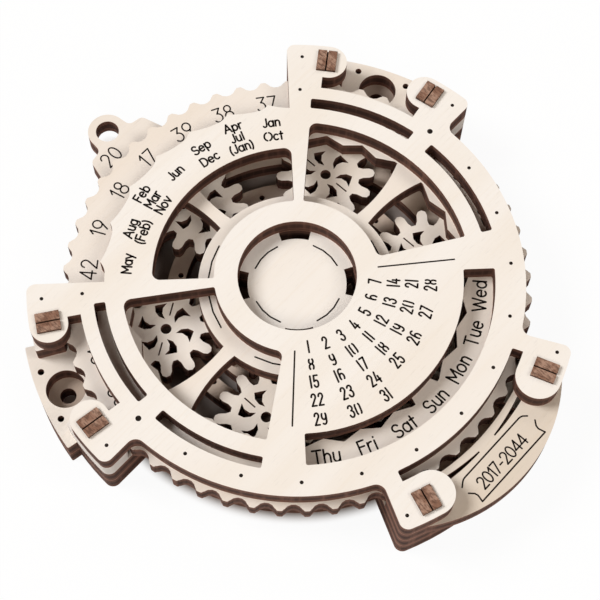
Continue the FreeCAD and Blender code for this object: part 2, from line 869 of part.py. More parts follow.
def make_wheel():
    body = new_body("calendar_wheel", LEVEL["wheel"] + " + params.face_gap")
    pad(body, "plate", WHEEL_SHEET, scalloped_rim())
    cut(body, "bore", disc(size("hub_disc_radius") + size("running_gap")))
    ring_of(body, "windows", cut(body, "window", wheel_window()), SPOKES)
    return body


def make_ring_gear():
    body = new_body("ring_gear", LEVEL["gears"] + " + params.face_gap")
    root, tip = gear_radii(RING_TEETH, internal=True)
    teeth = gear_outline(RING_TEETH, root, tip, internal=True)
    pad(body, "ring", SHEET, disc(ring_outer()), teeth)
    return body


def make_sun():
    body = new_body("sun_gear", LEVEL["gears"] + " + params.face_gap")
    root, tip = gear_radii(SUN_TEETH)
    pad(body, "gear", WHEEL_SHEET, gear_outline(SUN_TEETH, root, tip, internal=False))
    cut(body, "bore", disc(size("bush_radius") + size("running_gap")))
    return body


def make_planets():
    made = []
    start, end, half = size("slit_start"), size("slit_end"), size("slit_width") / 2
    points = [Vector(start, -half, 0), Vector(end, -half, 0), Vector(end, half, 0), Vector(start, half, 0)]
    for number, (centre, turn) in enumerate(zip(planet_centres(), SLIT_ANGLES), start=1):
        body = new_body(f"planet_gear_{number}", LEVEL["gears"] + " + params.face_gap", centre)
        pad(body, "gear", WHEEL_SHEET, planet_outline())
        cut(body, "bore", disc(size("axle_radius") + size("running_gap")))
        slit = polygon([turned(point, turn) for point in points])
        ring_of(body, "slits", cut(body, "slit", slit), 2)
        ring_of(body, "crescents", cut(body, "crescent", crescent()), PLANETS)
        made.append(body)
    return made


def make_axles():
    """Pins from the base's arms into the planet gears, ending below their faces."""
    made = []
    for number, centre in enumerate(planet_centres(), start=1):
        axle = doc.addObject("Part::Cylinder", f"planet_axle_{number}")
        axle.Label = axle.Name
        axle.Placement.Base = centre
        axle.setExpression("Radius", "params.axle_radius")
        axle.setExpression("Height", "params.sheet_thick * 2 - params.axle_recess")
        made.append(axle)
    return made


def make_hub():
    half = size("hub_slot_angle") / 2
    middle = SPOKE_STEP / 2
    inner, outer = size("hub_slot_inner"), size("hub_slot_outer")
    made = []
    for name, radius, level in (
        ("hub_bush", size("bush_radius"), "gears"),
        ("hub_disc", size("hub_disc_radius"), "wheel"),
    ):
        body = new_body(name, LEVEL[level])
        pad(body, "disc", SHEET, disc(radius))
        outline = sector(inner, outer, middle - half, middle + half)
        ring_of(body, "arc_slots", cut(body, "arc_slot", outline), SPOKES)
        made.append(body)
    return made


def check(objects):
    """Stop if any feature failed or any piece isn't a valid solid."""
    for item in doc.Objects:
        if "Invalid" in item.State or "Error" in item.State:
            raise RuntimeError(f"{item.Name}: {item.State}")
    for item in objects:
        if item.Shape.isNull() or not item.Shape.isValid() or not item.Shape.Solids:
            raise RuntimeError(f"{item.Name}: shape isn't a valid solid")


def main():
    pieces = [make_base()]
    pieces += [make_corner_plate(side) for side in SIDES]
    pieces += [make_lug_plate(), make_label_plate(), make_cover()]
    pieces += make_blocks()
    pieces += make_pegs()
    pieces += make_hub()
    pieces += [make_wheel(), make_ring_gear(), make_sun()]
    pieces += make_planets()
    pieces += make_axles()
    doc.recompute()
    check(pieces)
    os.makedirs("parts", exist_ok=True)
    for piece in pieces:
        piece.Shape.exportStep(os.path.join("parts", f"{piece.Label}.step"))
        box = piece.Shape.BoundBox
        solids = len(piece.Shape.Solids)
        print(piece.Label, solids, round(piece.Shape.Volume), round(box.ZMin, 2), round(box.ZMax, 2))


main()
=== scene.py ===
"""Finishes of a plywood perpetual desk calendar: laser-cut sheets, pegs and burnt-in dial marks.

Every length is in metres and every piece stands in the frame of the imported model: +Z up
through the sheets, +Y towards the hanging lug.
"""

import math

import bpy
import numpy as np
from mathutils import Matrix, Vector


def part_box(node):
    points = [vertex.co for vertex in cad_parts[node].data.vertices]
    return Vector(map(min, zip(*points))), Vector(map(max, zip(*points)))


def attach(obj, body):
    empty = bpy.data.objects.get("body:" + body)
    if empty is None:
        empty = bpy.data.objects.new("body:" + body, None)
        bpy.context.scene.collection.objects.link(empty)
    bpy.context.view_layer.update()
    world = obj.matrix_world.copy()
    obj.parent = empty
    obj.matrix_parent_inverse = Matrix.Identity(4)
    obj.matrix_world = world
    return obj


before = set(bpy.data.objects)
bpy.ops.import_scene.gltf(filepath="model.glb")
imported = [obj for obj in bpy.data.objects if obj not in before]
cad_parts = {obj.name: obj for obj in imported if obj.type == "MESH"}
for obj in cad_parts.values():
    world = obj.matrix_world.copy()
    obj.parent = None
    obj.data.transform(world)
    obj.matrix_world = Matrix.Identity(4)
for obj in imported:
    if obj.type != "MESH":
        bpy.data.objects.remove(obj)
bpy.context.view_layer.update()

MM = 0.001
# How far a cap stays below the faces of the sheet that it rounds.
SEAM = 0.01 * MM

bl_info = {
    "name": "Plywood Desk Calendar",
    "version": (1, 0, 0),
    "blender": (4, 5, 0),
    "location": "View3D > Sidebar > Calendar",
    "description": "Finishes, dial marks and stage of a laser-cut perpetual desk calendar",
    "category": "Object",
}

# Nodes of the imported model, by the finish that they carry.
COVER_SHEETS = ("top_cover", "hub_disc", "spacer_right_high", "spacer_left_high")
PALE_SPACERS = ("spacer_right_low", "spacer_left_low")
PLATE_SHEETS = ("corner_plate_right", "corner_plate_left", "lug_plate")
RAW_SHEETS = ("label_plate", "label_block_right", "label_block_left", "hub_bush")
BASE_SHEETS = ("base_plate",)
TURNING_SHEETS = ("calendar_wheel", "ring_gear", "sun_gear", "planet_gear_1", "planet_gear_2",
                  "planet_gear_3", "planet_gear_4", "planet_gear_5", "planet_gear_6")
PEGS = ("peg_right_low", "peg_right_high", "peg_left_high", "peg_left_low", "peg_label_left",
        "peg_label_right")
AXLES = ("planet_axle_1", "planet_axle_2", "planet_axle_3", "planet_axle_4", "planet_axle_5",
         "planet_axle_6")
# Each plywood: the setting of its face colour, the degrees that its grain is turned, how burnt
# its edges are, and the nodes cut from it.
PLYWOODS = {
    "cover_birch": ("cover_colour", 50, 1.0, COVER_SHEETS),
    "lower_birch": ("raw_colour", -35, 1.0, RAW_SHEETS),
    "smoked_birch": ("base_colour", -35, 1.0, BASE_SHEETS),
    "pale_edged_birch": ("cover_colour", 50, 0.15, PALE_SPACERS),
    "plate_birch": ("plate_colour", 20, 1.0, PLATE_SHEETS),
    "wheel_birch": ("wheel_colour", 38, 1.0, TURNING_SHEETS),
}
# Parts of a colour that make its warmer or paler tone, and how dark the axles are painted beside
# pegs:
# a painted shade, as dark as the shade down the planets' bores.
WARM_TINT = (0.93, 0.87, 0.79)
PALE_TINT = (1.6, 1.9, 2.1)
AXLE_SHADE = 0.12

# Patterns of the wood, in cells per metre along, across and through the sheet.
DRIFT_CELLS = (12.0, 70.0, 70.0)
WANDER_CELLS = (90.0, 90.0, 25.0)
STREAK_CELLS = (900.0, 900.0, 60.0)
SMOKE_CELLS = (70.0, 70.0, 70.0)
RAY_CELLS = (2600.0, 700.0, 300.0)
CLOUD_CELLS = (500.0, 500.0, 500.0)
CHAR_CELLS = (1500.0, 1500.0, 1500.0)
# How strongly the patterns of a sanded face show.
DRIFT_SHARE = 0.55
FIBRE_SHARE = 0.28
FLECK_SHARE = 0.14

# The dial: 28 slots round the wheel, seven of them under the cover's openings.
SLOTS = 28
SLOT_TURN = 360 / SLOTS
DAYS = 7
MIDDLE_DAY = 3
TOP = 90.0
BOTTOM = 270.0
YEARS = (17, 18, 19, 42, 20, 21, 22, 23, 40, 24, 25, 26, 27, 44,
         28, 29, 30, 31, 43, 32, 33, 34, 35, 41, 36, 37, 38, 39)
WEEKDAYS = ("Thu", "Fri", "Sat", "Sun", "Mon", "Tue", "Wed")
# Each group of months with the distance of every name from the axis, in millimetres.
MONTHS = ((("Jan", 34.6), ("Oct", 31.4)), (("Apr", 35.6), ("Jul", 33.0), ("(Jan)", 30.6)),
          (("Sep", 34.4), ("Dec", 31.2)), (("Jun", 33.3),),
          (("Feb", 35.8), ("Mar", 33.2), ("Nov", 30.8)), (("Aug", 34.5), ("(Feb)", 31.9)),
          (("May", 33.4),))
# How far the digits are narrowed, and the gap between them in cap heights before that.
YEAR_SQUEEZE = 0.98
YEAR_GAP = 0.2
LABEL_GAP = 0.13
DATE_SQUEEZE = 0.64
DATE_GAP = 0.34
# Distance of each row of dates from the axis, in millimetres.
DATE_ROWS = (15.2, 18.85, 22.4, 26.1, 29.95)
# Straight lines beside the dates: middle, half length, and degrees from the bottom.
DATE_LINE_RADIUS = 23.55 * MM
DATE_LINE_HALF = 7.55 * MM
DATE_LINE_TURN = 49.1
# Arcs of the wheel start and end so many degrees from the middle between two spokes.
WHEEL_ARC_RADIUS = 17.6 * MM
WHEEL_ARC_TURNS = (6, 30)
HUB_ARC_RADIUS = 8.9 * MM
HUB_ARC_HALF = 21
# Dots: a row along the foot of the cover, then pairs given by radius, middle, degrees to each
# side of it and diameter. Radii and diameters are in millimetres.
DOT = 0.74
DOT_ROW_RADIUS = 42.1
DOT_ROW_TURN = 15.43
DOT_PAIRS = ((42.1, BOTTOM, 92.6, 1.15), (42.0, TOP, 48.2, DOT), (49.9, TOP, 48.6, DOT),
             (49.9, TOP, 87.1, DOT), (52.4, BOTTOM, 24.75, DOT))
LABEL_TEXT = "2017-2044"
LABEL_RADIUS = 53.3 * MM
LABEL_SHIFT = -0.7 * MM
# Frame of the label, in millimetres: points, and arcs given as in the glyphs.
LABEL_FRAME = (((-9.8, -51.1), (-8.0, -51.6, 1.5, 1.4, 125, 90), (8.0, -51.6, 1.5, 1.4, 90, 55),
                (9.5, -51.1)),
               ((-9.3, -55.65), (9.3, -55.65)),
               ((-9.85, -52.7), (-9.1, -53.6), (-8.95, -54.3), (-9.3, -55.65)),
               ((9.85, -52.7), (9.1, -53.6), (8.95, -54.3), (9.3, -55.65)))
CENTURY_TEXT = "20"
CENTURY_RADIUS = 49.15 * MM
CENTURY_TURN = 94.3

# The floor: its tones, a painted shade under the calendar (a dark brown painted into the floor's
# colour, with its share and reach, where the floor also stops glowing), and its cells to a side.
# Holes are given by radius and degrees, how far round them the floor is dark, where that ends,
# and its share; lengths there are in millimetres.
PALE_FLOOR = ((0.95, 0.95, 0.95), (0.97, 0.97, 0.97))
# Painted shade: the floor under the calendar is painted this dark brown.
PAINTED_SHADE_FLOOR = (0.20, 0.14, 0.11)
PAINTED_SHADE_SHARE = 0.8
PAINTED_SHADE_REACH = (43.0 * MM, 46.0 * MM)
FLOOR_CELLS = 4
FLOOR_HOLES = ((49.6, 22.5, 1.5, 2.5, 1.0), (49.6, 157.5, 1.5, 2.5, 1.0),
               (53.9, TOP, 2.5, 3.8, 0.5))

SENSOR_WIDTH = 36.0
SKY_COLOUR = (1.0, 0.78, 0.64)
WARM_LIGHT = (1.0, 0.95, 0.89)
# Each lamp: name, degrees round from the key, strength and colour.
LAMPS = (("key", 0, 2.25, (1.0, 1.0, 1.0)), ("fill_low", 90, 0.75, WARM_LIGHT),
         ("fill_right", 180, 0.65, WARM_LIGHT), ("fill_high", 270, 0.35, WARM_LIGHT))


# ---------------------------------------------------------------- settings

class CalendarMarkSettings(bpy.types.PropertyGroup):
    """Sizes of the marks burnt into the sheets."""
    year_height: bpy.props.FloatProperty(
        name="Year Height", description="Height of the year digits on the wheel",
        default=3.2 * MM, unit="LENGTH")
    year_radius: bpy.props.FloatProperty(
        name="Year Radius", description="Distance of the years from the axis",
        default=41.5 * MM, unit="LENGTH")
    weekday_height: bpy.props.FloatProperty(
        name="Weekday Height", description="Height of the weekday capitals on the wheel",
        default=2.65 * MM, unit="LENGTH")
    weekday_radius: bpy.props.FloatProperty(
        name="Weekday Radius", description="Distance of the weekdays from the axis",
        default=36.1 * MM, unit="LENGTH")
    month_height: bpy.props.FloatProperty(
        name="Month Height", description="Height of the month capitals on the cover",
        default=1.9 * MM, unit="LENGTH")
    date_height: bpy.props.FloatProperty(
        name="Date Height", description="Height of the condensed date digits on the cover",
        default=2.38 * MM, unit="LENGTH")
    date_shift: bpy.props.FloatProperty(
        name="Date Shift", description="How far the dates stand after the middle of their column",
        default=-0.22 * MM, unit="LENGTH")
    label_height: bpy.props.FloatProperty(
        name="Label Height", description="Height of the digits on the label plate",
        default=2.4 * MM, unit="LENGTH")
    fine_stroke: bpy.props.FloatProperty(
        name="Fine Stroke", description="Width of a thin burnt line",
        default=0.32 * MM, unit="LENGTH")
    bold_stroke: bpy.props.FloatProperty(
        name="Bold Stroke", description="Width of a heavy burnt line",
        default=0.38 * MM, unit="LENGTH")
    proud: bpy.props.FloatProperty(
        name="Char Height", description="How far the charred line stands above its sheet",
        default=0.012 * MM, unit="LENGTH")
    sunk: bpy.props.FloatProperty(
        name="Burn Depth", description="How far the charred line reaches into its sheet",
        default=0.05 * MM, unit="LENGTH")


class CalendarWoodSettings(bpy.types.PropertyGroup):
    """Colours and grain of the birch plywood."""
    cover_colour: bpy.props.FloatVectorProperty(
        name="Cover Face", description="Sanded face of the cover sheet",
        default=(0.94, 0.90, 0.85), subtype="COLOR", size=3)
    plate_colour: bpy.props.FloatVectorProperty(
        name="Plate Face", description="Sanded face of the corner plates and the lug",
        default=(0.89, 0.83, 0.765), subtype="COLOR", size=3)
    raw_colour: bpy.props.FloatVectorProperty(
        name="Lower Face", description="Sanded face of the fixed lower sheets",
        default=(0.78, 0.70, 0.61), subtype="COLOR", size=3)
    # The base's face is set much darker than the faces of the other sheets.
    base_colour: bpy.props.FloatVectorProperty(
        name="Base Face", description="Unsanded, dusky face of the base sheet",
        default=(0.60, 0.49, 0.41), subtype="COLOR", size=3)
    wheel_colour: bpy.props.FloatVectorProperty(
        name="Wheel Face", description="Sanded face of the turning sheets",
        default=(0.90, 0.835, 0.765), subtype="COLOR", size=3)
    outer_ply_colour: bpy.props.FloatVectorProperty(
        name="Burnt Outer Ply", description="Laser-browned edge of the outer veneers",
        default=(0.17, 0.085, 0.06), subtype="COLOR", size=3)
    core_ply_colour: bpy.props.FloatVectorProperty(
        name="Burnt Core Ply", description="Laser-browned edge of the core veneer",
        default=(0.075, 0.036, 0.027), subtype="COLOR", size=3)
    peg_colour: bpy.props.FloatVectorProperty(
        name="Peg End", description="End of a peg, browned by the laser",
        default=(0.26, 0.135, 0.088), subtype="COLOR", size=3)
    burn_colour: bpy.props.FloatVectorProperty(
        name="Burnt Line", description="Char of an engraved line",
        default=(0.014, 0.010, 0.008), subtype="COLOR", size=3)
    sheet_thickness: bpy.props.FloatProperty(
        name="Sheet Thickness", description="Thickness of one plywood sheet",
        default=4.0 * MM, unit="LENGTH")
    tip_radius: bpy.props.FloatProperty(
        name="Tip Radius", description="Reach of the wheel's tips from its axis",
        default=46.5 * MM, unit="LENGTH")
    tip_width: bpy.props.FloatProperty(
        name="Tip Width", description="Width of a tip across its rounded end",
        default=1.5 * MM, unit="LENGTH")
    tip_depth: bpy.props.FloatProperty(
        name="Tip Depth", description="Depth of a tip's rounded end along the radius",
        default=0.9 * MM, unit="LENGTH")
    fibre_width: bpy.props.FloatProperty(
        name="Fibre Width", description="Width of one streak of the grain",
        default=0.7 * MM, unit="LENGTH")


class CalendarStageSettings(bpy.types.PropertyGroup):
    """Floor, light and camera."""
    camera_place: bpy.props.FloatVectorProperty(
        name="Camera Place", description="Where the camera stands",
        default=(-95.53 * MM, -84.71 * MM, 298.23 * MM), subtype="TRANSLATION", size=3)
    camera_aim: bpy.props.FloatVectorProperty(
        name="Camera Aim", description="Point in the middle of the picture",
        default=(-3.54 * MM, -3.99 * MM, 16.0 * MM), subtype="TRANSLATION", size=3)
    camera_roll: bpy.props.FloatProperty(
        name="Camera Roll", description="Turn of the camera about its line of sight",
        default=math.radians(1.4), subtype="ANGLE")
    lens: bpy.props.FloatProperty(
        name="Lens", description="Focal length on a 36 mm sensor, in millimetres",
        default=95.0)
    sky_strength: bpy.props.FloatProperty(
        name="Sky Strength", description="Strength of the even light all round", default=0.1)
    key_azimuth: bpy.props.FloatProperty(
        name="Key Azimuth", description="Direction that the key light comes from",
        default=math.radians(122), subtype="ANGLE")
    lamp_height: bpy.props.FloatProperty(
        name="Lamp Height", description="Height of the lamps over the floor",
        default=math.radians(46), subtype="ANGLE")
    lamp_width: bpy.props.FloatProperty(
        name="Lamp Width", description="Angle across each lamp",
        default=math.radians(26), subtype="ANGLE")
    floor_glow: bpy.props.FloatProperty(
        name="Floor Glow", description="Share of plain white in the floor that the camera sees",
        default=0.94)
    floor_size: bpy.props.FloatProperty(
        name="Floor Size", description="Side of the floor", default=6.0, unit="LENGTH")


# ---------------------------------------------------------------- shader maths

def add_node(tree, kind, settings=None, inputs=None, output=0):
    """Adds a node of that kind, makes its settings, feeds its sockets and gives one output."""
    node = tree.nodes.new(kind)
    for key, value in (settings or {}).items():
        setattr(node, key, value)
    for key, value in (inputs or {}).items():
        if isinstance(value, Signal):
            tree.links.new(value.socket, node.inputs[key])
        else:
            node.inputs[key].default_value = value
    return Signal(tree, node.outputs[output])


class Signal:
    """A shader socket that takes part in Python arithmetic: each operator adds a Math node."""

    def __init__(self, tree, socket):
        self.tree = tree
        self.socket = socket

    def maths(self, operation, *values):
        """The Math node of that operation, fed with the given numbers and signals in order."""
        return add_node(self.tree, "ShaderNodeMath", {"operation": operation},
                        dict(enumerate(values)))

    def __add__(self, other):
        return self.maths("ADD", self, other)

    def __radd__(self, other):
        return self.maths("ADD", other, self)

    def __sub__(self, other):
        return self.maths("SUBTRACT", self, other)

    def __rsub__(self, other):
        return self.maths("SUBTRACT", other, self)

    def __mul__(self, other):
        return self.maths("MULTIPLY", self, other)

    def __rmul__(self, other):
        return self.maths("MULTIPLY", other, self)

    def __truediv__(self, other):
        return self.maths("DIVIDE", self, other)

    def __abs__(self):
        return self.maths("ABSOLUTE", self)

    def fraction(self):
        return self.maths("FRACT", self)

    def rise(self, low, high):
        """0 below low, 1 above high, and an S-shaped rise between."""
        return add_node(self.tree, "ShaderNodeMapRange", {"interpolation_type": "SMOOTHSTEP"},
                        {"Value": self, "From Min": low, "From Max": high}, "Result")


class Finish:
    """One procedural material under construction."""

    def __init__(self, name):
        self.material = bpy.data.materials.new(name)
        self.material.use_nodes = True
        self.tree = self.material.node_tree
        self.shader = self.tree.nodes["Principled BSDF"]
        self.place = self.node("ShaderNodeTexCoord", output="Object")
        self.facing = self.node("ShaderNodeNewGeometry", output="True Normal")

    def node(self, kind, settings=None, inputs=None, output=0):
        """A node of this material, made as add_node says."""
        return add_node(self.tree, kind, settings, inputs, output)

    def height(self, vector):
        """The Z part of a vector."""
        return self.node("ShaderNodeSeparateXYZ", inputs={"Vector": vector}, output="Z")

    def stretched(self, scale, turn=0.0):
        """The place on the object, turned about Z and scaled along each axis, for a pattern."""
        return self.node("ShaderNodeMapping", inputs={
            "Vector": self.place, "Rotation": (0.0, 0.0, turn), "Scale": scale})

    def noise(self, scale, turn=0.0, detail=3.0, roughness=0.55):
        """Cloudy noise, 0 to 1, whose cells are 1/scale long on each axis."""
        return self.node("ShaderNodeTexNoise", inputs={
            "Vector": self.stretched(scale, turn), "Scale": 1.0, "Detail": detail,
            "Roughness": roughness}, output="Fac")

    def mix(self, share, first, second):
        """Colour first where share is 0 and second where it is 1."""
        first, second = (colour if isinstance(colour, Signal) else (*colour, 1.0)
                         for colour in (first, second))
        return self.node("ShaderNodeMix", {"data_type": "RGBA"},
                         {0: share, 6: first, 7: second}, output=2)

    def feed(self, **sockets):
        """Links or sets sockets of the shader; underscores in a name stand for spaces."""
        for key, value in sockets.items():
            slot = self.shader.inputs[key.replace("_", " ")]
            if isinstance(value, Signal):
                self.tree.links.new(value.socket, slot)
            else:
                slot.default_value = value

    def near(self, centre, low, high):
        """1 within low of a point in plan, 0 beyond high."""
        away = self.node("ShaderNodeVectorMath", {"operation": "DISTANCE"},
                         {0: self.place, 1: (*centre, 0.0)}, output="Value")
        return 1 - away.rise(low, high)

    def shine_for_camera(self, share):
        """Mixes plain white into what the camera sees, while other rays meet the shader alone."""
        ray = self.node("ShaderNodeLightPath", output="Is Camera Ray")
        glow = self.node("ShaderNodeEmission", inputs={"Color": (1.0, 1.0, 1.0, 1.0)})
        own = Signal(self.tree, self.shader.outputs[0])
        both = self.node("ShaderNodeMixShader", inputs={0: ray * share, 1: own, 2: glow})
        self.tree.links.new(both.socket, self.tree.nodes["Material Output"].inputs["Surface"])

    def relief(self, height, depth):
        """The normal of a surface whose height signal is worth that depth in metres."""
        return self.node("ShaderNodeBump", inputs={
            "Height": height, "Distance": depth, "Strength": 0.6}, output="Normal")


def polar(radius, angle):
    """The place in plan at a radius in millimetres and an angle in degrees."""
    turn = math.radians(angle)
    return radius * MM * math.cos(turn), radius * MM * math.sin(turn)


def tinted(colour, tint):
    return tuple(part * factor for part, factor in zip(colour, tint))


def scaled(colour, factor):
    return tinted(colour, (factor,) * 3)


def plywood(name, face_colour, grain_turn, wood, burnt_edge):
    """Sanded birch faces, and burnt edges that show the outer plies and the darker core."""
    finish = Finish(name)
    across = 1 / wood.fibre_width
    along = across / 30
    fibre = finish.noise((along, across, across), grain_turn, detail=4.0)
    drift = finish.noise(DRIFT_CELLS, grain_turn, detail=2.0)
    pores = finish.noise((across / 4, across * 3, across), grain_turn, detail=1.0)
    fleck = pores.rise(0.66, 0.74)
    warm = tinted(face_colour, WARM_TINT)
    face = finish.mix(drift.rise(0.35, 0.75) * DRIFT_SHARE, face_colour, warm)
    face = finish.mix(fibre.rise(0.45, 0.8) * FIBRE_SHARE, face, warm)
    face = finish.mix(fleck * FLECK_SHARE, face, scaled(face_colour, 0.6))

    # ply runs from 0 at the bottom of a sheet to 1 at its top, and the core is its middle.
    ply = (finish.height(finish.place) / wood.sheet_thickness).fraction()
    wander = finish.noise(WANDER_CELLS, detail=2.0) * 0.08 - 0.04
    core = 1 - abs(ply + wander - 0.5).rise(0.15, 0.23)
    streaks = finish.noise(STREAK_CELLS, detail=2.0)
    smoke = finish.noise(SMOKE_CELLS, detail=3.0)
    wall = finish.mix(core, tuple(wood.outer_ply_colour), tuple(wood.core_ply_colour))
    wall = finish.mix(streaks.rise(0.45, 0.85) * 0.6, wall, scaled(wood.outer_ply_colour, 1.7))
    wall = finish.mix(smoke.rise(0.4, 0.7) * 0.5, wall, scaled(wood.core_ply_colour, 0.7))

    # The rim is the wall's last two tenths of a millimetre, next to either face.
    rim = abs(ply - 0.5).rise(0.44, 0.475)
    wall = finish.mix(rim * 0.55, wall, scaled(wood.outer_ply_colour, 3.0))
    wall = finish.mix(1.0 - burnt_edge, wall, scaled(face_colour, 0.9))

    flat = abs(finish.height(finish.facing)).rise(0.5, 0.7)
    finish.feed(
        Base_Color=finish.mix(flat, wall, face),
        Roughness=0.82 - flat * (0.16 + 0.1 * fibre),
        Normal=finish.relief(fibre * 0.6 + streaks * (1 - flat) + fleck * -0.5, 0.03 * MM),
        Specular_IOR_Level=0.25,
    )
    return finish.material


def peg_end(name, colour):
    """End grain of a peg: rows of dark pores in a browned face, and burnt sides."""
    finish = Finish(name)
    rays = finish.noise(RAY_CELLS, math.radians(40), detail=3.0, roughness=0.7)
    cloud = finish.noise(CLOUD_CELLS, detail=2.0)
    pale = tinted(colour, PALE_TINT)
    face = finish.mix(cloud.rise(0.42, 0.6), colour, pale)
    face = finish.mix(rays.rise(0.45, 0.6) * 0.75, face, scaled(colour, 0.4))
    wall = finish.mix(cloud.rise(0.3, 0.7), scaled(colour, 0.3), scaled(colour, 0.6))
    flat = abs(finish.height(finish.facing)).rise(0.5, 0.7)
    finish.feed(
        Base_Color=finish.mix(flat, wall, face),
        Roughness=0.8 - 0.12 * cloud,
        Normal=finish.relief(rays, 0.05 * MM),
        Specular_IOR_Level=0.2,
    )
    return finish.material


def char(name, wood):
    """Charred line: near-black with browner spots where the beam burnt less."""
    finish = Finish(name)
    spots = finish.noise(CHAR_CELLS, detail=2.0)
    colour = tuple(wood.burn_colour)
    finish.feed(
        Base_Color=finish.mix(spots.rise(0.45, 0.75), colour, scaled(colour, 3.2)),
        Roughness=0.85 + 0.1 * spots,
        Normal=finish.relief(spots, 0.01 * MM),
        Specular_IOR_Level=0.15,
    )
    return finish.material


def material_named(name, maker, *facts):
    """The material of that name, made on first use."""
    return bpy.data.materials.get(name) or maker(name, *facts)


def birch(name):
    """One of the plywoods."""
    wood = bpy.context.scene.calendar_wood
    colour_setting, grain, burnt_edge, _ = PLYWOODS[name]
    return material_named(name, plywood, tuple(getattr(wood, colour_setting)),
                          math.radians(grain), wood, burnt_edge)


def dress(nodes, material):
    """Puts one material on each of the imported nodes."""
    for name in nodes:
        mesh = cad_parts[name].data
        mesh.materials.clear()
        mesh.materials.append(material)


# ---------------------------------------------------------------- lettering

